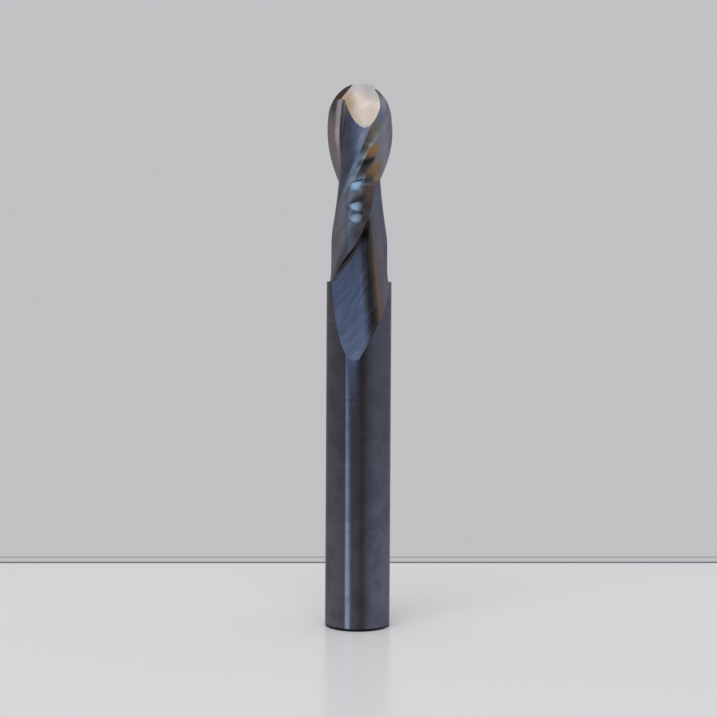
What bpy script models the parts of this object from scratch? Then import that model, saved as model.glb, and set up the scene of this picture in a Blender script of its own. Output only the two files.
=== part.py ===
# Ball nose cutter: a two-flute solid carbide end mill, ground from one round
# rod. It stands on its shank end with the ball up. Metres, +Z up, origin at
# the centre of the shank end. Azimuths are measured from +X towards +Y.

import math

import bmesh
import bpy
import numpy as np
from mathutils import Matrix, Vector

MM = 0.001

# The rod.
DIAMETER = 6.0 * MM
OVERALL_LENGTH = 50.0 * MM
SHANK_CHAMFER = 0.14 * MM
SIDES = 96

# The cutting end, with depths measured down from the tip.
CUT_LENGTH = 9.1 * MM
NECK_DIAMETER = 5.16 * MM
NECK_END_DEPTH = 18.2 * MM
NECK_LEAD_IN = 0.5 * MM
FLARE_LENGTH = 1.7 * MM
FLARE_HEIGHT = 0.16 * MM

# The two flutes, cut by a large wheel that follows the helix and then stops.
FLUTES = 2
HELIX_ANGLE = math.radians(30.0)
EDGE_DEPTH_AT_X = 4.33 * MM
CORE_DIAMETER = 3.46 * MM
WHEEL_RADIUS = 60.0 * MM
WHEEL_STOP_DEPTH = 13.1 * MM
BACK_FLAT = 0.18 * MM
BACK_CURVE = 1.437 * MM
RAKE_ANGLE = math.radians(8.0)
ROOT_BLEND = 0.62 * MM
NECK_ROOT_BLEND = 0.35 * MM

# Where the rake wall leaves the helix in the neck, as the wheel swings out.
WALL_SWING = math.radians(20.5)
WALL_CLEAR_ANGLE = math.radians(20.0)
WALL_PEAK_PAST_STOP = 1.3 * MM
WALL_END_PAST_STOP = 4.8 * MM

# The land behind each cutting edge: two ground facets, then the crowned heel.
PRIMARY_WIDTH = math.radians(12.0)
PRIMARY_DROP = 0.10 * MM
SECONDARY_WIDTH = math.radians(18.0)
SECONDARY_DROP = 0.21 * MM
HEEL_WIDTH = math.radians(68.0)
HEEL_DROP = 0.48 * MM
HEEL_CROWN = 0.02 * MM
EDGE_SKIM = math.radians(-0.5)
LAND_OVERRUN = math.radians(8.0)
RELIEF_LENGTH = 10.15 * MM

# Two small flats on the neck behind each land, where the relief wheel lifts off.
FLAT_AZIMUTH = math.radians(-103.8)
FLAT_DISTANCE = 2.505 * MM
FLAT_WIDTH = 1.7 * MM
FLAT_HEIGHT = 0.96 * MM
FLAT_LEAN = math.radians(14.0)
FLAT_PAST_RELIEF = 1.33 * MM
FLAT_PITCH = 1.06 * MM

# The gash that opens each flute over the ball: a broad facet that leans back
# from the tip, and the face under the cutting edge that it meets.
GASH_AZIMUTH = math.radians(-97.0)
GASH_LEAN = math.radians(21.7)
GASH_WEB = 1.60 * MM
GASH_FACE_AZIMUTH = math.radians(201.5)
GASH_FACE_OFFSET = 0.23 * MM

RADIUS = DIAMETER / 2
NECK_RADIUS = NECK_DIAMETER / 2
CORE_RADIUS = CORE_DIAMETER / 2
SHOULDER_Z = OVERALL_LENGTH - NECK_END_DEPTH
STOP_Z = OVERALL_LENGTH - WHEEL_STOP_DEPTH
TWIST_RATE = math.tan(HELIX_ANGLE) / RADIUS
CLEAR_RADIUS = 1.15 * RADIUS
CUTTER_RADIUS = 1.35 * RADIUS
WALL_PEAK_Z = STOP_Z - WALL_PEAK_PAST_STOP
WALL_END_Z = STOP_Z - WALL_END_PAST_STOP
WHEEL_TRAVEL = OVERALL_LENGTH + 2.2 * RADIUS - STOP_Z
RUN_OUT_LENGTH = math.sqrt(2 * WHEEL_RADIUS * (1.08 * RADIUS - CORE_RADIUS))
STEP = 0.31 * MM
BALL_ROWS = 19


def clear_scene():
    for old in list(bpy.data.objects):
        bpy.data.objects.remove(old, do_unlink=True)
    for old in list(bpy.data.collections):
        bpy.data.collections.remove(old)


def new_collection(name):
    made = bpy.data.collections.new(name)
    bpy.context.scene.collection.children.link(made)
    return made


def new_object(name, mesh, collection):
    made = bpy.data.objects.new(name, mesh)
    collection.objects.link(made)
    return made


def carbide():
    made = bpy.data.materials.new("ground_carbide")
    made.use_nodes = True
    surface = made.node_tree.nodes["Principled BSDF"]
    surface.inputs["Base Color"].default_value = (0.30, 0.30, 0.34, 1.0)
    surface.inputs["Metallic"].default_value = 1.0
    surface.inputs["Roughness"].default_value = 0.28
    return made


def ball_radius(z):
    """Radius of the uncut rod at height z, round the ball and below it."""
    height = z - (OVERALL_LENGTH - RADIUS)
    if height <= 0:
        return RADIUS
    return math.sqrt(max(RADIUS**2 - height**2, 0.0))


def ball_heights():
    """Heights of the ball's rows, closer together towards the tip."""
    centre = OVERALL_LENGTH - RADIUS
    return [centre + RADIUS * math.cos(a) for a in np.linspace(0, math.pi / 2, BALL_ROWS)]


def rod_profile():
    """Half outline of the turned rod, from the tip down its outer side."""
    outline = [(ball_radius(z), z) for z in ball_heights()]
    cut_end = OVERALL_LENGTH - CUT_LENGTH
    outline.append((RADIUS, cut_end))
    outline.append((NECK_RADIUS, cut_end - NECK_LEAD_IN))
    # The neck widens along a quarter of an ellipse into the shoulder.
    for a in np.linspace(0, math.pi / 2, 7):
        outline.append(
            (
                NECK_RADIUS + FLARE_HEIGHT * (1 - math.cos(a)),
                SHOULDER_Z + FLARE_LENGTH * (1 - math.sin(a)),
            )
        )
    outline.append((RADIUS, SHOULDER_Z))
    outline.append((RADIUS, SHANK_CHAMFER))
    outline.append((RADIUS - SHANK_CHAMFER, 0.0))
    outline.append((0.0, 0.0))
    return outline


def turned_rod(name, collection):
    shape = bmesh.new()
    points = [shape.verts.new((x, 0, z)) for x, z in rod_profile()]
    for a, b in zip(points, points[1:]):
        shape.edges.new((a, b))
    mesh = bpy.data.meshes.new(name)
    shape.to_mesh(mesh)
    shape.free()
    made = new_object(name, mesh, collection)
    screw = made.modifiers.new("turn", "SCREW")
    screw.axis = "Z"
    screw.steps = screw.render_steps = SIDES
    screw.use_merge_vertices = True
    screw.merge_threshold = 0.00001
    screw.use_smooth_shade = True
    return made


def edge_azimuth(z):
    """Azimuth of the first cutting edge: right-hand, falling back going down."""
    return TWIST_RATE * (z - (OVERALL_LENGTH - EDGE_DEPTH_AT_X))


def flute_radius(azimuth, z):
    """Distance from the axis to the flute's floor, None where nothing is cut.

    The wheel's rim is flat on the rake side and bowed towards the heel. The
    floor is the deepest cut of all the places that the wheel passes through.
    """
    spots = STOP_Z + np.arange(0.0, WHEEL_TRAVEL, 0.1 * MM)
    turn = azimuth - TWIST_RATE * (spots - (OVERALL_LENGTH - EDGE_DEPTH_AT_X))
    lift = CORE_RADIUS + (z - spots) ** 2 / (2 * WHEEL_RADIUS)
    best = CLEAR_RADIUS
    flat = (turn <= 0) & (turn > -1.4)
    if flat.any():
        best = min(best, float((lift[flat] / np.cos(turn[flat])).min()))
    bowed = (turn > 0) & (turn < 2.6)
    if bowed.any():
        sine, cosine = np.sin(turn[bowed]), np.cos(turn[bowed])
        bow = 1 / (2 * BACK_CURVE)
        square = bow * sine**2
        linear = cosine + 2 * bow * BACK_FLAT * sine
        rest = linear**2 - 4 * square * (lift[bowed] + bow * BACK_FLAT**2)
        reached = (rest >= 0) & (square > 1e-9) & (linear > 0)
        if reached.any():
            radii = (linear[reached] - np.sqrt(rest[reached])) / (2 * square[reached])
            best = min(best, float(radii.min()))
    return best


def smooth_step(share):
    share = min(max(share, 0.0), 1.0)
    return share * share * (3 - 2 * share)


def wall_start(z):
    """Azimuth, radius and rake of the top of the rake wall at height z."""
    cut_end = OVERALL_LENGTH - CUT_LENGTH
    if z >= cut_end:
        return edge_azimuth(z), RADIUS, RAKE_ANGLE
    rise = (cut_end - z) / (cut_end - WALL_PEAK_Z)
    fall = (WALL_PEAK_Z - z) / (WALL_PEAK_Z - WALL_END_Z)
    swing = WALL_SWING * (math.sin(min(rise, 1.0) * math.pi / 2) - smooth_step(fall))
    # Below the swing the wall turns clear of the wheel's footprint and stays there.
    clear = WALL_CLEAR_ANGLE * smooth_step((WALL_END_Z - z) / RADIUS)
    azimuth = edge_azimuth(max(z, WALL_END_Z - RADIUS)) + swing - clear
    return azimuth, NECK_RADIUS, RAKE_ANGLE


def flute_section(z):
    """Outline of one flute's cutter at height z, in turn from the rake wall."""
    azimuth, radius, rake = wall_start(z)
    out = np.array([math.cos(azimuth), math.sin(azimuth)])
    along = np.array([-math.sin(azimuth), math.cos(azimuth)])
    inward = -out * math.cos(rake) - along * math.sin(rake)
    top = out * radius

    def turned(point):
        # Measured from the wall's own azimuth, so that it never wraps.
        return azimuth + math.atan2(float(point @ along), float(point @ out))

    def below_floor(depth):
        point = top + inward * depth
        return float(np.hypot(*point)) < flute_radius(turned(point), z)

    high, low = -(CUTTER_RADIUS - radius) * 0.98, radius * 0.95
    for _ in range(26):
        middle = (high + low) / 2
        if below_floor(middle):
            low = middle
        else:
            high = middle
    corner = top + inward * high
    corner_azimuth = turned(corner)
    corner_radius = float(np.hypot(*corner))

    depth = OVERALL_LENGTH - z
    share = smooth_step((depth - CUT_LENGTH) / (2.0 * MM))
    blend = ROOT_BLEND + (NECK_ROOT_BLEND - ROOT_BLEND) * share
    wall_point = corner - inward * blend
    floor_azimuth = corner_azimuth + blend / corner_radius
    floor_radius = flute_radius(floor_azimuth, z)
    floor_point = floor_radius * np.array([math.cos(floor_azimuth), math.sin(floor_azimuth)])

    outer = top - inward * (CUTTER_RADIUS - radius) * 1.05
    points = [outer + (wall_point - outer) * t for t in (0.0, 0.2, 0.4, 0.6, 0.8)]
    for t in (0.0, 0.25, 0.5, 0.75, 1.0):
        points.append(
            wall_point * (1 - t) ** 2 + corner * 2 * t * (1 - t) + floor_point * t**2
        )
    last = edge_azimuth(max(z, STOP_Z)) + math.radians(152.0)
    for a in np.linspace(floor_azimuth, last, 20)[1:]:
        r = flute_radius(a, z)
        points.append(np.array([r * math.cos(a), r * math.sin(a)]))
    first = turned(points[0])
    for a in np.linspace(last, first, 9)[:-1]:
        points.append(CUTTER_RADIUS * np.array([math.cos(a), math.sin(a)]))
    return points


def land_corners():
    """Corners of the land, as an angle behind the edge and a share of radius."""
    primary = 1 - PRIMARY_DROP / RADIUS
    secondary = 1 - SECONDARY_DROP / RADIUS
    heel = 1 - HEEL_DROP / RADIUS
    second = PRIMARY_WIDTH + SECONDARY_WIDTH
    crown = (secondary + heel) / 2 + HEEL_CROWN / RADIUS
    return [
        (EDGE_SKIM, 1.0),
        (PRIMARY_WIDTH, primary),
        (second, secondary),
        ((second + HEEL_WIDTH) / 2, crown),
        (HEEL_WIDTH, heel),
    ]


def line_radius(a, b, angle):
    """Radius at an angle on the straight line through two polar points."""
    (angle_a, ra), (angle_b, rb) = a, b
    return (
        ra * rb * math.sin(angle_b - angle_a)
        / (ra * math.sin(angle - angle_a) + rb * math.sin(angle_b - angle))
    )


def relief_section(z):
    """Outline of the cutter that grinds one land, scaled to the ball."""
    scale = max(ball_radius(z), 0.02 * RADIUS)
    corners = land_corners()
    front = EDGE_SKIM - LAND_OVERRUN
    back = HEEL_WIDTH + LAND_OVERRUN
    # Narrow strips next to the edge keep it even, as the facets are twisted.
    inner = []
    for angle in (front, EDGE_SKIM - LAND_OVERRUN / 4):
        inner.append((angle, line_radius(corners[0], corners[1], angle)))
    for (a, ra), (b, rb) in zip(corners, corners[1:]):
        for t in (0.0, 0.2, 0.5) if a < PRIMARY_WIDTH else (0.0, 0.5):
            angle = a + (b - a) * t
            inner.append((angle, line_radius((a, ra), (b, rb), angle)))
    inner.append(corners[-1])
    inner.append((back, line_radius(corners[-2], corners[-1], back)))
    base = edge_azimuth(z)
    points = []
    for angle, share in inner:
        a = base - angle
        points.append(scale * share * np.array([math.cos(a), math.sin(a)]))
    for angle in np.linspace(back, front, 6):
        a = base - angle
        points.append(CUTTER_RADIUS * np.array([math.cos(a), math.sin(a)]))
    return points


def lofted(name, section, heights, turn, collection):
    """A closed solid through one outline at each height."""
    shape = bmesh.new()
    rings = []
    spin = Matrix.Rotation(turn, 3, "Z")
    for z in heights:
        rings.append([shape.verts.new(spin @ Vector((x, y, z))) for x, y in section(z)])
    count = len(rings[0])
    for lower, upper in zip(rings, rings[1:]):
        for i in range(count):
            j = (i + 1) % count
            shape.faces.new((lower[i], lower[j], upper[j], upper[i]))
    shape.faces.new(rings[0])
    shape.faces.new(rings[-1])
    bmesh.ops.triangulate(shape, faces=shape.faces[:])
    bmesh.ops.recalc_face_normals(shape, faces=shape.faces[:])
    mesh = bpy.data.meshes.new(name)
    shape.to_mesh(mesh)
    shape.free()
    return new_object(name, mesh, collection)


def gash_cutter(name, turn, collection):
    """A wedge whose two walls are the gash facet and the face under the edge."""
    facet = Vector(
        (
            math.cos(GASH_AZIMUTH) * math.cos(GASH_LEAN),
            math.sin(GASH_AZIMUTH) * math.cos(GASH_LEAN),
            math.sin(GASH_LEAN),
        )
    )
    across = GASH_FACE_AZIMUTH + math.pi / 2
    face = Vector((math.cos(across), math.sin(across), 0))
    centre = Vector((0, 0, OVERALL_LENGTH - RADIUS))
    valley = facet.cross(face).normalized()
    # A point on both walls: solve for its distances along the two normals.
    share = facet.dot(face)
    web, offset = GASH_WEB, GASH_FACE_OFFSET
    p = (web - share * offset) / (1 - share**2)
    q = (offset - share * web) / (1 - share**2)
    start = centre + facet * p + face * q
    up_facet = facet.cross(valley).normalized()
    up_face = face.cross(valley).normalized()
    if up_facet.dot(face) < 0:
        up_facet.negate()
    if up_face.dot(facet) < 0:
        up_face.negate()
    if up_facet.cross(up_face).dot(valley) < 0:
        valley.negate()
    reach = 4 * RADIUS
    shape = bmesh.new()
    bmesh.ops.create_cube(shape, size=1.0)
    for vert in shape.verts:
        x, y, z = (value + 0.5 for value in vert.co)
        vert.co = start + (up_facet * x + up_face * y + valley * (2 * z - 1)) * reach
    bmesh.ops.transform(shape, matrix=Matrix.Rotation(turn, 4, "Z"), verts=shape.verts)
    mesh = bpy.data.meshes.new(name)
    shape.to_mesh(mesh)
    shape.free()
    return new_object(name, mesh, collection)


def flat_cutter(name, z, turn, collection):
    """A block whose inner side grinds one leaning flat on the neck."""
    depth = CUTTER_RADIUS - FLAT_DISTANCE
    shape = bmesh.new()
    bmesh.ops.create_cube(shape, size=1.0)
    bmesh.ops.scale(shape, vec=(depth, FLAT_WIDTH, FLAT_HEIGHT), verts=shape.verts)
    place = Matrix.Translation((FLAT_DISTANCE + depth / 2, 0, z)) @ Matrix.Rotation(FLAT_LEAN, 4, "X")
    place = Matrix.Rotation(FLAT_AZIMUTH + turn, 4, "Z") @ place
    bmesh.ops.transform(shape, matrix=place, verts=shape.verts)
    mesh = bpy.data.meshes.new(name)
    shape.to_mesh(mesh)
    shape.free()
    return new_object(name, mesh, collection)


def cut(target, tool):
    tool.hide_render = True
    tool.display_type = "WIRE"
    modifier = target.modifiers.new(tool.name, "BOOLEAN")
    modifier.operation = "DIFFERENCE"
    modifier.solver = "EXACT"
    modifier.object = tool


def apply_modifiers(target):
    bpy.context.view_layer.update()
    graph = bpy.context.evaluated_depsgraph_get()
    mesh = bpy.data.meshes.new_from_object(target.evaluated_get(graph))
    target.modifiers.clear()
    target.data = mesh
    return mesh


def build():
    clear_scene()
    parts = new_collection("Ball nose cutter")
    tools = new_collection("Cutters")
    cutter = turned_rod("ball_nose_cutter", parts)

    top = OVERALL_LENGTH + 0.8 * MM
    flute_end = STOP_Z - RUN_OUT_LENGTH
    flute_heights = np.linspace(top, flute_end, int((top - flute_end) / STEP) + 1)
    relief_end = OVERALL_LENGTH - RELIEF_LENGTH
    ball_base = OVERALL_LENGTH - RADIUS
    relief_heights = [top] + ball_heights()[:-1]
    relief_heights += list(np.linspace(ball_base, relief_end, int((ball_base - relief_end) / STEP) + 1))
    for i in range(FLUTES):
        turn = 2 * math.pi * i / FLUTES
        cut(cutter, lofted(f"flute_tool_{i + 1}", flute_section, flute_heights, turn, tools))
    for i in range(FLUTES):
        turn = 2 * math.pi * i / FLUTES
        cut(cutter, lofted(f"relief_tool_{i + 1}", relief_section, relief_heights, turn, tools))
        cut(cutter, gash_cutter(f"gash_tool_{i + 1}", turn, tools))
        for j in range(2):
            z = relief_end - FLAT_PAST_RELIEF - FLAT_PITCH * j
            cut(cutter, flat_cutter(f"flat_tool_{i + 1}_{j + 1}", z, turn, tools))

    mesh = apply_modifiers(cutter)
    mesh.materials.clear()
    mesh.materials.append(carbide())
    mesh.shade_smooth()
    mesh.set_sharp_from_angle(angle=math.radians(25.0))


build()
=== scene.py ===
import math

import bmesh
import bpy
import numpy as np
from mathutils import Matrix, Vector


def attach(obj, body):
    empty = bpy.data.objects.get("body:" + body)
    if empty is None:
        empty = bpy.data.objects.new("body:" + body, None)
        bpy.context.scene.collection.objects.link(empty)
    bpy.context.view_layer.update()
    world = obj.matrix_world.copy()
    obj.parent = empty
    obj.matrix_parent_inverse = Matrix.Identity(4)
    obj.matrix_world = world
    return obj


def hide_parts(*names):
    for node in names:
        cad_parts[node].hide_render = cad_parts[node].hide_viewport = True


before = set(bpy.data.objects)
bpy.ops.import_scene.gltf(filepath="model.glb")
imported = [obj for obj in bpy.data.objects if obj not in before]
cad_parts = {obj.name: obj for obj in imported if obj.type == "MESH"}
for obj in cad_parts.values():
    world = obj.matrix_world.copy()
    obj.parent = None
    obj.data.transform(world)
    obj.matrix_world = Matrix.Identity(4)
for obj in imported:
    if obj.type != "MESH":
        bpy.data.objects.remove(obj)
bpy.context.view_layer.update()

# The camera stands close in front of the tool, about level with its middle, and looks a
# little down, so that the shoulder shows edge-on and the foot is seen from above.
lens_data = bpy.data.cameras.new("camera")
lens_data.lens = 67.92
lens_data.sensor_width = 36.0
lens_data.clip_start = 0.001
lens_data.clip_end = 5.0
camera = bpy.data.objects.new("camera", lens_data)
bpy.context.scene.collection.objects.link(camera)
camera.location = (-0.00002, -0.125, 0.02753)
look_down, roll = math.radians(1.283), math.radians(0.32)
camera.matrix_world = (
    Matrix.Translation(camera.location)
    @ Matrix.Rotation(math.pi / 2 - look_down, 4, "X")
    @ Matrix.Rotation(roll, 4, "Z")
)
bpy.context.scene.camera = camera
bpy.context.scene.view_settings.view_transform = "Standard"


# The cutter is one rod of sintered tungsten carbide. It is turned round, then ground all
# over: shank, neck, two flutes with their run-out, three relief facets behind each
# cutting edge, and the two gashes that open the ball. It is held by its plain shank.
MM = 0.001
cutter_radius, cutter_length = 3.0 * MM, 50.0 * MM
cut_length, shoulder_depth = 9.1 * MM, 18.2 * MM
neck_radius, neck_lead_in = 2.58 * MM, 0.5 * MM
flare_length, flare_height = 1.7 * MM, 0.16 * MM
shank_chamfer, shoulder_break = 0.14 * MM, 0.02 * MM
ball_centre_z = cutter_length - cutter_radius
cut_end_z = cutter_length - cut_length
shoulder_z = cutter_length - shoulder_depth
helix = math.tan(math.radians(30.0)) / cutter_radius
edge_zero_z = cutter_length - 4.33 * MM
rod_sides, ball_rows, profile_rows = 288, 49, 13
on_axis = 1e-7
neck_slot, chamfer_slot = 1, 2


def ball_radius(z):
    """Radius of the ball at a height, and the full radius below the ball."""
    height = max(z - ball_centre_z, 0.0)
    return math.sqrt(max(cutter_radius**2 - height**2, 0.0))


def ball_heights():
    """Heights from the tip down to the widest place of the ball, at even angles."""
    angles = np.linspace(0, math.pi / 2, ball_rows)
    return [ball_centre_z + cutter_radius * math.cos(a) for a in angles]


def edge_azimuth(z):
    """Where the cutting edge stands round the axis: a right-hand helix."""
    return helix * (z - edge_zero_z)


def turned_profile():
    """Radius and height down the blank: ball, cutting part, neck, flare and shank."""
    outline = [(ball_radius(z), z) for z in ball_heights()]
    for z in np.linspace(ball_centre_z, cut_end_z, profile_rows)[1:]:
        outline.append((cutter_radius, z))
    outline.append((neck_radius, cut_end_z - neck_lead_in))
    for a in np.linspace(0, math.pi / 2, profile_rows):
        radius = neck_radius + flare_height * (1 - math.cos(a))
        outline.append((radius, shoulder_z + flare_length * (1 - math.sin(a))))
    outline.append((cutter_radius - shoulder_break, shoulder_z))
    outline.append((cutter_radius, shoulder_z - shoulder_break))
    outline.append((cutter_radius, shank_chamfer))
    outline.append((cutter_radius - shank_chamfer, 0.0))
    outline.append((0.0, 0.0))
    return outline


def as_mesh(shape, name):
    """The mesh of a finished shape."""
    mesh = bpy.data.meshes.new(name)
    shape.to_mesh(mesh)
    shape.free()
    return mesh


def turn_rod():
    """The turned blank: its profile carried round the axis, with one point at each end."""
    shape = bmesh.new()
    rings = []
    angles = [2 * math.pi * i / rod_sides for i in range(rod_sides)]
    for radius, z in turned_profile():
        if radius < on_axis:
            rings.append([shape.verts.new((0, 0, z))])
        else:
            ring = [(radius * math.cos(a), radius * math.sin(a), z) for a in angles]
            rings.append([shape.verts.new(point) for point in ring])
    for upper, lower in zip(rings, rings[1:]):
        for i in range(rod_sides):
            j = (i + 1) % rod_sides
            if len(upper) == 1:
                shape.faces.new((upper[0], lower[i], lower[j]))
            elif len(lower) == 1:
                shape.faces.new((upper[i], lower[0], upper[j]))
            else:
                face = shape.faces.new((upper[i], lower[i], lower[j], upper[j]))
                middle = (upper[i].co.z + lower[i].co.z) / 2
                if shoulder_z + shoulder_break / 2 < middle < cut_end_z:
                    face.material_index = neck_slot
                elif middle < shank_chamfer:
                    face.material_index = chamfer_slot
    bmesh.ops.recalc_face_normals(shape, faces=shape.faces[:])
    return as_mesh(shape, "turned_rod")


# Each flute is what a large grinding wheel leaves as it follows the helix down from the
# tip and stops on the neck. Below the stop its round rim lifts the floor out in a long
# tongue that crosses the shoulder into the shank.
core_radius, wheel_radius = 1.73 * MM, 60.0 * MM
stop_z = cutter_length - 13.1 * MM
# The rim is flat on the edge's side and bows away across the flute, each up to an angle
# in radians from the edge.
rim_flat, rim_curve = 0.18 * MM, 1.437 * MM
flat_reach, bow_reach = 1.4, 2.6
path_length = cutter_length + 2.2 * cutter_radius - stop_z
path_pitch = 0.08 * MM
uncut_radius, wheel_reach = 1.15 * cutter_radius, 1.35 * cutter_radius
rake_angle, flute_span = math.radians(8.0), math.radians(152.0)
wall_peak_z, wall_end_z = stop_z - 1.3 * MM, stop_z - 4.8 * MM
wall_swing, wall_clearing = math.radians(20.5), math.radians(20.0)
root_blend, root_blend_loss, root_blend_run = 0.62 * MM, 0.27 * MM, 2.0 * MM
wall_shares = (0.0, 0.15, 0.3, 0.45, 0.6, 0.75, 0.9)
root_points, floor_points, outside_points, halvings = 9, 56, 13, 24
# This many strips from the start of an outline are rake wall, and the rest are floor.
wall_strips = len(wall_shares) + 6


def flute_floor(azimuth, z):
    """Distance from the axis to the flute's floor, the deepest place that the wheel passes."""
    spots = stop_z + np.arange(0.0, path_length, path_pitch)
    turn = azimuth - edge_azimuth(spots)
    lift = core_radius + (z - spots) ** 2 / (2 * wheel_radius)
    nearest = uncut_radius
    flat = (turn <= 0) & (turn > -flat_reach)
    if flat.any():
        nearest = min(nearest, float((lift[flat] / np.cos(turn[flat])).min()))
    bowed = (turn > 0) & (turn < bow_reach)
    if bowed.any():
        # The bow is a parabola, and a line from the axis meets it first at the smaller root.
        sine, cosine = np.sin(turn[bowed]), np.cos(turn[bowed])
        bow = 1 / (2 * rim_curve)
        square = bow * sine**2
        linear = cosine + 2 * bow * rim_flat * sine
        rest = linear**2 - 4 * square * (lift[bowed] + bow * rim_flat**2)
        reached = (rest >= 0) & (square > 1e-9) & (linear > 0)
        if reached.any():
            radii = (linear[reached] - np.sqrt(rest[reached])) / (2 * square[reached])
            nearest = min(nearest, float(radii.min()))
    return nearest


def ease(share):
    """A share from 0 to 1 that starts and ends slowly."""
    share = min(max(share, 0.0), 1.0)
    return share * share * (3 - 2 * share)


def flute_wall(z):
    """Azimuth and radius of the top of the rake wall, which swings out along the neck."""
    if z >= cut_end_z:
        return edge_azimuth(z), cutter_radius
    rise = (cut_end_z - z) / (cut_end_z - wall_peak_z)
    fall = (wall_peak_z - z) / (wall_peak_z - wall_end_z)
    swing = wall_swing * (math.sin(min(rise, 1.0) * math.pi / 2) - ease(fall))
    clearing = wall_clearing * ease((wall_end_z - z) / cutter_radius)
    lowest = wall_end_z - cutter_radius
    return edge_azimuth(max(z, lowest)) + swing - clearing, neck_radius


def flute_outline(z):
    """The wheel's outline at a height: rake wall, rounded root, floor, and far outside."""
    azimuth, radius = flute_wall(z)
    out = np.array([math.cos(azimuth), math.sin(azimuth)])
    along = np.array([-math.sin(azimuth), math.cos(azimuth)])
    inward = -out * math.cos(rake_angle) - along * math.sin(rake_angle)
    top = out * radius

    def turned(point):
        return azimuth + math.atan2(float(point @ along), float(point @ out))

    # The wall meets the floor between a point outside the rod and one near the axis.
    high, low = -(wheel_reach - radius) * 0.98, radius * 0.95
    for _ in range(halvings):
        middle = (high + low) / 2
        point = top + inward * middle
        if float(np.hypot(*point)) < flute_floor(turned(point), z):
            low = middle
        else:
            high = middle
    corner = top + inward * high
    blend = root_blend - root_blend_loss * ease((cut_end_z - z) / root_blend_run)
    wall_point = corner - inward * blend
    floor_azimuth = turned(corner) + blend / float(np.hypot(*corner))
    r = flute_floor(floor_azimuth, z)
    floor_point = r * np.array([math.cos(floor_azimuth), math.sin(floor_azimuth)])
    outer = top - inward * (wheel_reach - radius) * 1.05
    points = [outer + (wall_point - outer) * share for share in wall_shares]
    for t in np.linspace(0, 1, root_points):
        points.append(wall_point * (1 - t) ** 2 + corner * 2 * t * (1 - t) + floor_point * t**2)
    last = edge_azimuth(max(z, stop_z)) + flute_span
    for a in np.linspace(floor_azimuth, last, floor_points)[1:]:
        r = flute_floor(a, z)
        points.append(np.array([r * math.cos(a), r * math.sin(a)]))
    for a in np.linspace(last, turned(points[0]), outside_points)[:-1]:
        points.append(wheel_reach * np.array([math.cos(a), math.sin(a)]))
    return points


def loft(name, outline, heights, turn, first_strips=0):
    """A closed body through one outline at each height, whose first strips differ in finish."""
    shape = bmesh.new()
    spin = Matrix.Rotation(turn, 3, "Z")
    rings = [[shape.verts.new(spin @ Vector((x, y, z))) for x, y in outline(z)] for z in heights]
    count = len(rings[0])
    for lower, upper in zip(rings, rings[1:]):
        for i in range(count):
            j = (i + 1) % count
            face = shape.faces.new((lower[i], lower[j], upper[j], upper[i]))
            face.material_index = 1 if i < first_strips else 0
    shape.faces.new(rings[0])
    shape.faces.new(rings[-1])
    bmesh.ops.triangulate(shape, faces=shape.faces[:])
    bmesh.ops.recalc_face_normals(shape, faces=shape.faces[:])
    return as_mesh(shape, name)


# Behind each edge the land is ground away in three flat facets and a heel, which follow
# the edge round the ball and end in a step on the neck. A corner has its degrees behind
# the edge and its depth in millimetres below the circle that the edge runs on.
relief_corners = ((-0.5, 0.0), (12.0, 0.10), (30.0, 0.21), (49.0, 0.325), (68.0, 0.48))
relief_end_z = cutter_length - 10.15 * MM
relief_overlap = math.radians(8.0)
relief_outside_points = 8
facet_shares = (0.0, 0.15, 0.35, 0.6, 0.8)
smallest_scale = 0.02 * cutter_radius


def straight_radius(one, two, angle):
    """Radius at an angle on the straight line between two points of known angle and radius."""
    (angle_one, radius_one), (angle_two, radius_two) = one, two
    reach = radius_one * math.sin(angle - angle_one) + radius_two * math.sin(angle_two - angle)
    return radius_one * radius_two * math.sin(angle_two - angle_one) / reach


def relief_outline(z):
    """Three straight facets behind the edge and the heel, scaled down round the ball."""
    scale = max(ball_radius(z), smallest_scale)
    corners = [(math.radians(a), 1 - depth * MM / cutter_radius) for a, depth in relief_corners]
    front, back = corners[0][0] - relief_overlap, corners[-1][0] + relief_overlap
    inner = [(a, straight_radius(corners[0], corners[1], a)) for a in (front, front / 4)]
    for one, two in zip(corners, corners[1:]):
        for share in facet_shares:
            a = one[0] + (two[0] - one[0]) * share
            inner.append((a, straight_radius(one, two, a)))
    inner.append(corners[-1])
    inner.append((back, straight_radius(corners[-2], corners[-1], back)))
    outside = np.linspace(back, front, relief_outside_points)
    outer = [(a, wheel_reach / scale) for a in outside]
    base = edge_azimuth(z)
    return [
        scale * share * np.array([math.cos(base - a), math.sin(base - a)])
        for a, share in inner + outer
    ]


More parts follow.
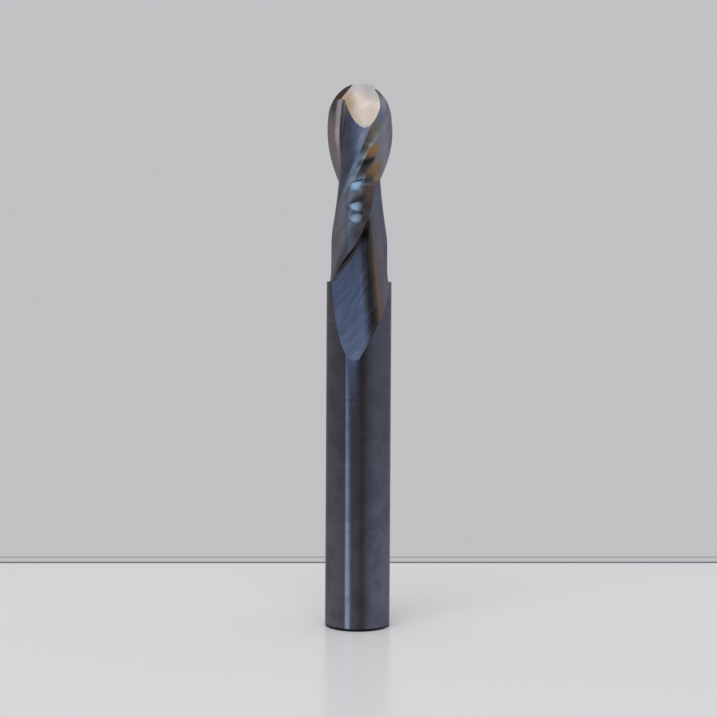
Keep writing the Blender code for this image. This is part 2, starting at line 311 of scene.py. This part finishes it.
# The gash opens the ball at the tip. It leaves a broad facet that leans back and the face
# under the cutting edge, as the two sides of one wedge.
def gash_wedge(name, turn):
    """A wedge whose two sides stand off from the centre of the ball and meet in a valley."""
    facet_lean, facet_azimuth = math.radians(21.7), math.radians(-97.0)
    face_azimuth, facet_offset, face_offset = math.radians(291.5), 1.60 * MM, 0.23 * MM
    level = math.cos(facet_lean)
    facet = Vector(
        (math.cos(facet_azimuth) * level, math.sin(facet_azimuth) * level, math.sin(facet_lean))
    )
    face = Vector((math.cos(face_azimuth), math.sin(face_azimuth), 0))
    share = facet.dot(face)
    along_facet = (facet_offset - share * face_offset) / (1 - share**2)
    along_face = (face_offset - share * facet_offset) / (1 - share**2)
    start = Vector((0, 0, ball_centre_z)) + facet * along_facet + face * along_face
    valley = facet.cross(face).normalized()
    up_facet, up_face = facet.cross(valley).normalized(), face.cross(valley).normalized()
    if up_facet.dot(face) < 0:
        up_facet.negate()
    if up_face.dot(facet) < 0:
        up_face.negate()
    if up_facet.cross(up_face).dot(valley) < 0:
        valley.negate()
    size = 4 * cutter_radius
    shape = bmesh.new()
    bmesh.ops.create_cube(shape, size=1.0)
    for vert in shape.verts:
        x, y, z = (value + 0.5 for value in vert.co)
        vert.co = start + (up_facet * x + up_face * y + valley * (2 * z - 1)) * size
    bmesh.ops.transform(shape, matrix=Matrix.Rotation(turn, 4, "Z"), verts=shape.verts)
    return as_mesh(shape, name)


# Where the relief wheel lifts off, three small leaning flats are left one under the other
# behind each land. Their heights are measured from the end of the relief.
flat_lifts = (0.55 * MM, -1.33 * MM, -2.39 * MM)


def flat_block(name, z, turn):
    """A block whose inner side grinds one leaning flat."""
    distance, width, tall = 2.515 * MM, 1.7 * MM, 0.92 * MM
    azimuth, lean, tilt = math.radians(-97.2), math.radians(17.0), math.radians(-4.0)
    depth = wheel_reach - distance
    shape = bmesh.new()
    bmesh.ops.create_cube(shape, size=1.0)
    bmesh.ops.scale(shape, vec=(depth, width, tall), verts=shape.verts)
    place = Matrix.Translation((distance + depth / 2, 0, z)) @ Matrix.Rotation(lean, 4, "X")
    place = place @ Matrix.Rotation(tilt, 4, "Y")
    place = Matrix.Rotation(azimuth + turn, 4, "Z") @ place
    bmesh.ops.transform(shape, matrix=place, verts=shape.verts)
    return as_mesh(shape, name)


# All of it is ground carbide. Fine wheel lines cross each kind of surface at a lean of
# their own. The lands, the neck, flutes, flats and gashes carry painted highlights, painted
# reflections and painted shade.
class Mark:
    """A node's output that takes part in sums, so that shader maths reads as arithmetic."""

    def __init__(self, tree, socket=None):
        self.tree, self.socket = tree, socket

    def node(self, kind, inputs=None, output=0, **settings):
        """A new node: its settings first, then the values or links of its inputs."""
        made = self.tree.nodes.new(kind)
        for name, value in settings.items():
            if name == "stops":
                ramp = made.color_ramp
                while len(ramp.elements) > 1:
                    ramp.elements.remove(ramp.elements[-1])
                ramp.elements[0].position, ramp.elements[0].color = value[0]
                for position, colour in value[1:]:
                    ramp.elements.new(position).color = colour
            else:
                setattr(made, name, value)
        for key, value in (inputs or {}).items():
            if isinstance(value, Mark):
                self.tree.links.new(value.socket, made.inputs[key])
            else:
                made.inputs[key].default_value = value
        return Mark(self.tree, made.outputs[output])

    def other(self, output):
        """Another output of the same node."""
        return Mark(self.tree, self.socket.node.outputs[output])

    def feed(self, target):
        """Links this output to an input of another node."""
        self.tree.links.new(self.socket, target)

    def maths(self, operation, one, two=0.0, three=0.0):
        return self.node("ShaderNodeMath", {0: one, 1: two, 2: three}, operation=operation)

    def __add__(self, other):
        return self.maths("ADD", self, other)

    __radd__ = __add__

    def __mul__(self, other):
        return self.maths("MULTIPLY", self, other)

    __rmul__ = __mul__

    def __sub__(self, other):
        return self.maths("SUBTRACT", self, other)

    def __rsub__(self, other):
        return self.maths("SUBTRACT", other, self)

    def __truediv__(self, other):
        return self.maths("DIVIDE", self, other)

    def __rtruediv__(self, other):
        return self.maths("DIVIDE", other, self)

    def step(self, low, high):
        """0 up to the first value, 1 from the second on, and a soft rise between them."""
        ends = {0: self, 1: low, 2: high, 3: 0.0, 4: 1.0}
        return self.node("ShaderNodeMapRange", ends, interpolation_type="SMOOTHSTEP")

    def between(self, low, high, soft):
        """1 between two values and 0 outside them, with soft ends."""
        return self.step(low - soft, low + soft) * (1.0 - self.step(high - soft, high + soft))

    def noise(self, vector, scale, detail, rough):
        inputs = {"Vector": vector, "Scale": scale, "Detail": detail, "Roughness": rough}
        return self.node("ShaderNodeTexNoise", inputs)

    def blend(self, mask, one, two):
        """The first colour where the mask is 0 and the second where it is 1."""
        one, two = (tone if isinstance(tone, Mark) else (*tone, 1.0) for tone in (one, two))
        return self.node("ShaderNodeMix", {0: mask, 6: one, 7: two}, output=2, data_type="RGBA")


def ground_finish(name, tone, roughness, line_lean, line_pitch, line_depth, contrast, cloud, tint=None):
    """Ground carbide: fine parallel wheel lines at one lean, clouded by handling."""
    made = bpy.data.materials.new(name)
    made.use_nodes = True
    tree = made.node_tree
    surface = tree.nodes["Principled BSDF"]
    mark = Mark(tree)
    metres = mark.node("ShaderNodeTexCoord", output="Object")
    millimetres = mark.node("ShaderNodeVectorMath", {0: metres, "Scale": 1 / MM}, operation="SCALE")
    x = mark.node("ShaderNodeSeparateXYZ", {0: millimetres})
    y, z = x.other("Y"), x.other("Z")
    # Round the axis in millimetres of arc, and up it: the surface laid out flat.
    arc = mark.maths("ARCTAN2", y, x) * (cutter_radius / MM)
    lean = math.radians(line_lean)
    across = arc * math.cos(lean) - z * math.sin(lean)
    along = arc * math.sin(lean) + z * math.cos(lean)
    # A wheel line is 40 pitches long, and a band of lines is 6 wide and 60 long.
    fine = {0: across / line_pitch, 1: along / (line_pitch * 40), 2: 0.0}
    coarse = {0: across / (line_pitch * 6), 1: along / (line_pitch * 60), 2: 3.7}
    fine_place = mark.node("ShaderNodeCombineXYZ", fine)
    coarse_place = mark.node("ShaderNodeCombineXYZ", coarse)
    lines = mark.noise(fine_place, scale=1.0, detail=3.0, rough=0.6)
    bands = mark.noise(coarse_place, scale=1.0, detail=2.0, rough=0.5)
    clouds = mark.noise(millimetres, scale=0.55, detail=4.0, rough=0.55)
    specks = mark.noise(millimetres, scale=9.0, detail=3.0, rough=0.6)
    wear = clouds.step(0.45, 0.62) * cloud
    pits = (specks.step(0.66, 0.72) * clouds.step(0.42, 0.55)) * (cloud * 0.8)
    shade = (bands - 0.5) * contrast + (lines - 0.5) * (contrast * 0.7) + (specks - 0.5) * 0.12
    dark, light, stain = ([min(c * k, 1.0) for c in tone] for k in (0.55, 1.45, 0.35))
    smudge = [c * k for c, k in zip(tone, (0.72, 0.70, 0.76))]
    base = mark.blend(shade + 0.5, dark, light)
    if tint:
        base = tint(mark, (x, y, z), base, bands, clouds)
    worn = mark.blend(wear, base, smudge)
    mark.blend(pits, worn, stain).feed(surface.inputs["Base Color"])
    rough = (bands - 0.5) * 0.10 + (specks - 0.5) * 0.05 + wear * 0.06 + roughness
    rough.feed(surface.inputs["Roughness"])
    relief = lines + bands * 2.0 + specks * 0.15
    bump = {"Strength": 1.0, "Distance": line_depth * MM, "Height": relief}
    mark.node("ShaderNodeBump", bump).feed(surface.inputs["Normal"])
    surface.inputs["Metallic"].default_value = 1.0
    surface.inputs["Specular Tint"].default_value = (0.62, 0.61, 0.66, 1.0)
    return made


def behind_edge(mark, place, lead=0.0):
    """Degrees behind the nearer cutting edge, the same on both lands, from minus the lead."""
    x, y, z = place
    edge = (z - edge_zero_z / MM) * (helix * MM)
    lag = edge - mark.maths("ARCTAN2", y, x)
    start = -math.radians(lead)
    return mark.maths("WRAP", lag, math.pi + start, start) * math.degrees(1.0)


def round_axis(mark, place):
    """Degrees round the axis from 0 to 180, the same on both halves of the tool."""
    x, y, z = place
    return mark.maths("WRAP", mark.maths("ARCTAN2", y, x), math.pi) * math.degrees(1.0)


# The tints below are laid over the ground metal, and most of them are painted light:
# highlights, reflections and shade. Heights are in millimetres and angles in degrees. Each
# patch gives its two heights and how soft they are, its two angles and how soft they are,
# its colour, and how strongly it covers.
def laid_over(mark, base, height, angle, patches):
    """A colour with patches laid over it, one after the other."""
    for heights, angles, colour, strength in patches.values():
        patch = height.between(*heights) * angle.between(*angles)
        base = mark.blend(patch * strength, base, colour)
    return base


def shank_painted_light(mark, place, base, bands, clouds):
    """The shank has painted light near its foot and a thin painted shadow ring above the chamfer."""
    z = place[2]
    # Painted light: the shank is lightened towards its foot.
    foot = mark.blend((1.0 - z.step(1.0, 22.0)) * 0.33, base, (0.35, 0.33, 0.37))
    # Painted contact shadow: a near black ring just above the chamfer.
    return mark.blend(z.step(0.20, 0.30), (0.02, 0.02, 0.022), foot)


def neck_tint(mark, place, base, bands, clouds):
    """The neck has a brown band below the end of the relief, painted reflections, and painted shade
    beside the flute's wall.
    """
    z = place[2]
    behind = behind_edge(mark, place, 40.0) + (clouds - 0.5) * 10.0
    height = z + (clouds - 0.5) * 1.0 + (bands - 0.5) * 0.5
    arc = round_axis(mark, place)
    # Painted reflections: a lighter and a darker band at set angles round the axis.
    pale, grey = arc.between(15.0, 58.0, 10.0), arc.between(62.0, 90.0, 10.0)
    brown_band = height.between(38.3, 41.2, 0.4) * behind.between(-12.0, 22.0, 6.0)
    # Painted shade beside the flute's wall, and a painted near black spot low on the neck.
    shaded = behind.between(-34.0, 6.0, 8.0) * (1.0 - height.step(38.2, 39.4))
    spot = z.between(38.3, 39.5, 0.3) * behind.between(10.0, 34.0, 6.0)
    tone = mark.blend(pale * 0.5, base, (0.40, 0.385, 0.41))
    tone = mark.blend(grey * 0.35, tone, (0.085, 0.080, 0.085))
    tone = mark.blend(brown_band * 0.8, tone, (0.15, 0.105, 0.09))
    tone = mark.blend(shaded * 0.62, tone, (0.06, 0.055, 0.06))
    return mark.blend(spot * 0.92, tone, (0.02, 0.02, 0.03))


def painted_shade_spot(mark, place, base):
    """Painted shade: a black spot at the foot of the wall."""
    z = place[2]
    leaning_arc = round_axis(mark, place) - (z - 36.6) * 4.0
    spot = z.between(35.5, 37.5, 0.5) * leaning_arc.between(80.0, 121.0, 4.0)
    return mark.blend(spot * 0.9, base, (0.012, 0.012, 0.014))


def wall_painted_light(mark, place, base, bands, clouds):
    """Painted highlights midway up the rake wall, and painted shade at its root and where it runs out.
    """
    x, y, z = place
    radius = mark.maths("SQRT", x * x + y * y) + (clouds - 0.5) * 0.3
    # A painted highlight high up the wall.
    painted_glint = radius.between(1.88, 2.25, 0.14) * z.step(43.5, 46.0)
    # Painted shade at the root and a painted highlight midway up, duller towards the rim.
    tone = mark.blend(radius.step(1.68, 2.00), (0.125, 0.118, 0.122), (0.34, 0.305, 0.30))
    tone = mark.blend(radius.step(2.15, 2.45), tone, (0.225, 0.195, 0.205))
    tone = mark.blend(bands.step(0.35, 0.65) * 0.25, tone, (0.16, 0.145, 0.15))
    tone = mark.blend(painted_glint * 0.6, tone, (0.62, 0.55, 0.53))
    # Painted shade where the wall runs out on the neck.
    tone = mark.blend(z.step(39.0, 41.5), (0.055, 0.048, 0.050), tone)
    return painted_shade_spot(mark, place, tone)


def flute_tint(mark, place, base, bands, clouds):
    """A dark streak runs down the flute's floor from the painted shade spot, with brown behind it."""
    z = place[2]
    patches = {
        "brown": ((24.0, 38.0, 1.5), (128.0, 165.0, 5.0), (0.215, 0.188, 0.178), 0.8),
        "streak": ((26.2, 36.5, 1.0), (110.0, 128.0, 4.0), (0.045, 0.05, 0.06), 0.72),
    }
    arc = round_axis(mark, place) + (clouds - 0.5) * 6.0
    tone = laid_over(mark, base, z, arc, patches)
    # A painted highlight in the flute beside the cutting edge, above the neck.
    root = behind_edge(mark, place, 40.0).between(-30.0, 12.0, 6.0) * z.step(40.5, 42.5)
    return painted_shade_spot(mark, place, mark.blend(root * 0.8, tone, (0.58, 0.56, 0.60)))


def relief_painted_reflections(mark, place, base, bands, clouds):
    """Painted reflections in straw, brown, blue and pale cross the heel of each land, with a dark bar.
    """
    z = place[2]
    # Every patch here is a painted reflection, and the last one a painted highlight.
    patches = {
        "cool": ((45.3, 47.6, 0.5), (46.0, 80.0, 4.0), (0.20, 0.25, 0.34), 0.8),
        "pale": ((44.2, 45.2, 0.4), (46.0, 80.0, 4.0), (0.62, 0.66, 0.68), 0.7),
        "straw": ((43.05, 44.05, 0.22), (31.0, 57.0, 3.0), (0.40, 0.30, 0.17), 0.8),
        "brown": ((41.1, 42.15, 0.22), (6.0, 44.0, 4.0), (0.33, 0.235, 0.15), 0.8),
        "bar": ((42.25, 42.85, 0.2), (29.0, 57.0, 4.0), (0.05, 0.045, 0.04), 0.75),
        "painted_highlight": ((39.7, 41.4, 0.25), (48.0, 61.0, 3.0), (0.62, 0.66, 0.66), 1.0),
    }
    behind = behind_edge(mark, place) + (clouds - 0.5) * 8.0
    height = z + (clouds - 0.5) * 0.3 + (behind - 40.0) * 0.012
    tone = mark.blend((z + clouds).step(48.7, 49.5) * 0.6, base, (0.10, 0.09, 0.09))
    return laid_over(mark, tone, height, behind, patches)


def flat_painted_highlight(mark, place, base, bands, clouds):
    """Each small flat has a painted highlight in its middle that fades towards its borders."""
    arc = round_axis(mark, place) + (bands - 0.5) * 14.0
    level = place[2] + (bands - 0.5) * 0.3
    upper = level.between(40.05, 40.72, 0.16)
    middle = level.between(38.2, 38.84, 0.16)
    lower = level.between(37.14, 37.78, 0.16)
    painted_highlight = (upper + middle + lower) * arc.between(74.0, 96.0, 6.0)
    return mark.blend(painted_highlight, (0.17, 0.19, 0.20), base)


def gash_tint(mark, place, base, bands, clouds):
    """The gash is straw coloured at its deep corner and greyer towards the tip."""
    x, y, z = place
    deep_side = x * mark.maths("SIGN", y) + (clouds - 0.5) * 0.8
    shaded = deep_side.step(-0.5, 0.9) * (1.0 - z.step(47.9, 48.9))
    corner = deep_side.step(0.30, 1.15) * z.between(46.6, 49.3, 0.4)
    upper = (0.3 - deep_side).step(0.2, 1.1) * z.step(47.9, 48.7)
    tip = (z + clouds * 0.9).step(48.9, 50.1)
    tone = mark.blend(clouds.step(0.40, 0.66) * 0.45, base, (0.160, 0.138, 0.124))
    tone = mark.blend(shaded * 0.75, tone, (0.112, 0.088, 0.070))
    tone = mark.blend(corner * 0.8, tone, (0.115, 0.078, 0.046))
    tone = mark.blend(upper * 0.6, tone, (0.105, 0.108, 0.115))
    return mark.blend(tip * 0.6, tone, (0.115, 0.120, 0.135))


shank_finish = ground_finish(
    "ground_shank", tone=(0.164, 0.157, 0.174), roughness=0.12, line_lean=88.0,
    line_pitch=0.040, line_depth=0.0002, contrast=0.45, cloud=0.45, tint=shank_painted_light,
)
# The chamfer is painted near black as a painted contact shadow round the foot.
chamfer_painted_shadow = ground_finish(
    "painted_shadow_chamfer", tone=(0.02, 0.02, 0.022), roughness=0.5, line_lean=88.0,
    line_pitch=0.040, line_depth=0.0004, contrast=0.20, cloud=0.0,
)
neck_finish = ground_finish(
    "ground_neck", tone=(0.245, 0.235, 0.250), roughness=0.40, line_lean=52.0,
    line_pitch=0.060, line_depth=0.0016, contrast=0.95, cloud=0.3, tint=neck_tint,
)
flute_finish = ground_finish(
    "ground_flute", tone=(0.182, 0.192, 0.230), roughness=0.24, line_lean=38.0,
    line_pitch=0.040, line_depth=0.0012, contrast=0.90, cloud=0.35, tint=flute_tint,
)
wall_finish = ground_finish(
    "ground_wall", tone=(0.31, 0.275, 0.275), roughness=0.26, line_lean=38.0,
    line_pitch=0.040, line_depth=0.0008, contrast=0.40, cloud=0.2, tint=wall_painted_light,
)
relief_finish = ground_finish(
    "ground_relief", tone=(0.31, 0.305, 0.32), roughness=0.20, line_lean=-55.0,
    line_pitch=0.035, line_depth=0.0006, contrast=0.35, cloud=0.2, tint=relief_painted_reflections,
)
# The pale cyan tone of the small flats is the colour of their painted highlight.
flat_painted_highlight_finish = ground_finish(
    "ground_flat_painted_highlight", tone=(0.76, 1.0, 0.90), roughness=0.16, line_lean=-55.0,
    line_pitch=0.035, line_depth=0.0004, contrast=0.60, cloud=0.2, tint=flat_painted_highlight,
)
gash_finish = ground_finish(
    "ground_gash", tone=(0.218, 0.194, 0.177), roughness=0.30, line_lean=60.0,
    line_pitch=0.045, line_depth=0.0010, contrast=0.50, cloud=0.25, tint=gash_tint,
)


# The blank takes its cuts one after the other: both flutes, then on each side the relief,
# the gash and the small flats. Each cut leaves its own finish on the new surface.
row_pitch = 0.14 * MM
above_tip_z = cutter_length + 0.8 * MM
clear_radius = 1.08 * cutter_radius
flute_end_z = stop_z - math.sqrt(2 * wheel_radius * (clear_radius - core_radius))


def cut(target, name, mesh, *finishes):
    """One grinding pass: what the mesh fills is taken away from the target."""
    for finish in finishes:
        mesh.materials.append(finish)
    tool = bpy.data.objects.new(name, mesh)
    bpy.context.scene.collection.objects.link(tool)
    modifier = target.modifiers.new(name, "BOOLEAN")
    modifier.operation, modifier.solver, modifier.object = "DIFFERENCE", "MANIFOLD", tool
    modifier.material_mode = "TRANSFER"
    return tool


def rows_down(high, low):
    """Heights from the first to the second, about one row's pitch apart."""
    return np.linspace(high, low, int((high - low) / row_pitch) + 1)


blank = turn_rod()
for finish in (shank_finish, neck_finish, chamfer_painted_shadow):
    blank.materials.append(finish)
cutter = bpy.data.objects.new("ground_cutter", blank)
bpy.context.scene.collection.objects.link(cutter)
flute_rows = rows_down(above_tip_z, flute_end_z)
relief_rows = [above_tip_z, *ball_heights()[:-1], *rows_down(ball_centre_z, relief_end_z)]
tools = []
for side in range(2):
    flute = loft("flute", flute_outline, flute_rows, math.pi * side, wall_strips)
    tools.append(cut(cutter, f"flute_tool_{side}", flute, flute_finish, wall_finish))
for side in range(2):
    turn = math.pi * side
    relief = loft("relief", relief_outline, relief_rows, turn)
    tools.append(cut(cutter, f"relief_tool_{side}", relief, relief_finish))
    tools.append(cut(cutter, f"gash_tool_{side}", gash_wedge("gash", turn), gash_finish))
    for lift in flat_lifts:
        flat = flat_block("flat", relief_end_z + lift, turn)
        tools.append(cut(cutter, "flat_tool", flat, flat_painted_highlight_finish))
bpy.context.view_layer.update()
finished = cutter.evaluated_get(bpy.context.evaluated_depsgraph_get())
ground = bpy.data.meshes.new_from_object(finished)
cutter.modifiers.clear()
cutter.data = ground
for tool in tools:
    bpy.data.objects.remove(tool, do_unlink=True)
ground.shade_smooth()
ground.set_sharp_from_angle(angle=math.radians(18.0))
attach(cutter, "root")
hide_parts("ball_nose_cutter")


# The tool stands on a smooth pale sheet that ends in a lapped joint a little way behind
# it. Past the joint the ground is the same plain grey as the backdrop. Most of the sheet
# is let through where the metal mirrors it, so that the room shows down to the foot.
joint_y, joint_slant = 33.1 * MM, 0.033
table_reach = 1.2
backdrop_tone, strip_tone = (0.535, 0.535, 0.554), (0.40, 0.40, 0.42)
table_tone, front_painted_shade = (0.70, 0.70, 0.71), (0.648, 0.648, 0.657)
line_tone, seam_tone = (0.26, 0.26, 0.27), (0.16, 0.16, 0.17)
corners = [(-1, -1), (1, -1), (1, 1), (-1, 1)]
table_data = bpy.data.meshes.new("table")
table_data.from_pydata([(x * table_reach, y * table_reach, 0) for x, y in corners], [], [(0, 1, 2, 3)])
table = bpy.data.objects.new("table", table_data)
bpy.context.scene.collection.objects.link(table)
sheet = bpy.data.materials.new("pale_sheet")
sheet.use_nodes = True
tree = sheet.node_tree
surface = tree.nodes["Principled BSDF"]
surface.inputs["Roughness"].default_value = 0.22
surface.inputs["Specular IOR Level"].default_value = 0.16
mark = Mark(tree)
x = mark.node("ShaderNodeSeparateXYZ", {0: mark.node("ShaderNodeTexCoord", output="Object")})
behind = x.other("Y") - x * joint_slant - joint_y
beyond = behind.step(-0.4 * MM, 0.0)
strip = behind.between(0.0, 4.0 * MM, 0.2 * MM)
upper_line = behind.between(3.6 * MM, 4.4 * MM, 0.3 * MM)
seam = behind.between(-0.2 * MM, 0.9 * MM, 0.4 * MM)
# Painted shade: the sheet darkens towards the front.
ground_tone = mark.blend(behind.step(-75.0 * MM, -10.0 * MM), front_painted_shade, table_tone)
mark.blend(beyond, ground_tone, backdrop_tone).feed(surface.inputs["Base Color"])
edge_tone = mark.blend(strip * 0.12, backdrop_tone, strip_tone)
edge_tone = mark.blend(upper_line * 0.75, edge_tone, line_tone)
edge_tone = mark.blend(seam, edge_tone, seam_tone)
glow = mark.node("ShaderNodeEmission", {0: edge_tone, 1: 1.0})
camera_ray = mark.node("ShaderNodeLightPath", output="Is Camera Ray")
let_through = camera_ray.other("Is Glossy Ray") * 0.88
clear = mark.node("ShaderNodeBsdfTransparent")
solid = Mark(tree, surface.outputs[0])
faint = mark.node("ShaderNodeMixShader", {0: let_through, 1: solid, 2: clear})
shown = mark.node("ShaderNodeMixShader", {0: beyond * camera_ray, 1: faint, 2: glow})
shown.feed(tree.nodes["Material Output"].inputs["Surface"])
table_data.materials.append(sheet)


# Soft studio light: a grey room, dark on the photographer's side, with a cool window to
# the left, a warm wall high on the right, a pale ceiling and ground, and one broad lamp.
# A bearing is in degrees: 0 is the photographer's side and 90 the right.
level_bands = [
    (-180, (0.54, 0.54, 0.55)),
    (-150, (0.46, 0.46, 0.47)),
    (-110, (0.36, 0.345, 0.37)),
    (-70, (0.29, 0.28, 0.31)),
    (-47, (0.225, 0.215, 0.26)),
    (-42, (0.84, 1.26, 1.72)),
    (-31, (0.84, 1.26, 1.72)),
    (-25, (0.28, 0.34, 0.48)),
    (-20, (0.21, 0.195, 0.22)),
    (-4, (0.21, 0.185, 0.20)),
    (6, (0.13, 0.125, 0.14)),
    (16, (0.10, 0.10, 0.11)),
    (26, (0.19, 0.18, 0.18)),
    (36, (0.24, 0.26, 0.30)),
    (60, (0.34, 0.38, 0.49)),
    (110, (0.40, 0.43, 0.55)),
    (150, (0.48, 0.48, 0.52)),
    (180, (0.54, 0.54, 0.55)),
]
raised_bands = [
    (-180, (0.50, 0.50, 0.52)),
    (-110, (0.26, 0.26, 0.30)),
    (-75, (0.25, 0.29, 0.38)),
    (-50, (0.36, 0.48, 0.68)),
    (-14, (0.36, 0.52, 0.84)),
    (-8, (0.13, 0.16, 0.26)),
    (-1, (0.06, 0.07, 0.10)),
    (20, (0.06, 0.065, 0.08)),
    (27, (0.24, 0.18, 0.14)),
    (36, (0.52, 0.38, 0.24)),
    (54, (0.56, 0.43, 0.31)),
    (66, (0.44, 0.46, 0.54)),
    (90, (0.55, 0.59, 0.70)),
    (125, (0.44, 0.46, 0.55)),
    (180, (0.50, 0.50, 0.52)),
]
ground_below, ceiling = (0.64, 0.64, 0.65), (0.90, 0.90, 0.90)
world = bpy.data.worlds.new("studio")
bpy.context.scene.world = world
world.use_nodes = True
background = world.node_tree.nodes["Background"]
mark = Mark(world.node_tree)
direction = mark.node("ShaderNodeTexCoord", output="Generated")
east = mark.node("ShaderNodeSeparateXYZ", {0: direction})
north, height = east.other("Y"), east.other("Z")
bearing = mark.maths("ARCTAN2", east, north * -1.0) / (2 * math.pi) + 0.5


def light_ring(bands):
    """Light that changes with the bearing, from bands given in degrees."""
    stops = [((degrees + 180) / 360, (*colour, 1.0)) for degrees, colour in bands]
    return mark.node("ShaderNodeValToRGB", {0: bearing}, stops=stops)


# A height here is the sine of the elevation.
walls = mark.blend(height.step(0.10, 0.17), light_ring(level_bands), light_ring(raised_bands))
grounded = mark.blend(height.step(-0.50, -0.28), ground_below, walls)
room = mark.blend(height.step(0.50, 0.66), grounded, ceiling)
seen = mark.node("ShaderNodeLightPath", output="Is Camera Ray")
mark.blend(seen, room, backdrop_tone).feed(background.inputs["Color"])
background.inputs["Strength"].default_value = 1.0

lamp_data = bpy.data.lights.new("soft_lamp", "AREA")
lamp_data.shape, lamp_data.size, lamp_data.size_y = "RECTANGLE", 0.34, 0.26
lamp_data.energy = 0.80
lamp_data.color = (1.0, 0.975, 0.94)
lamp = bpy.data.objects.new("soft_lamp", lamp_data)
bpy.context.scene.collection.objects.link(lamp)
lamp.location = Vector((-0.06, -0.22, 0.317))
lamp_aim = Vector((0, 0, 0.045))
lamp.rotation_euler = (lamp_aim - lamp.location).to_track_quat("-Z", "Y").to_euler()
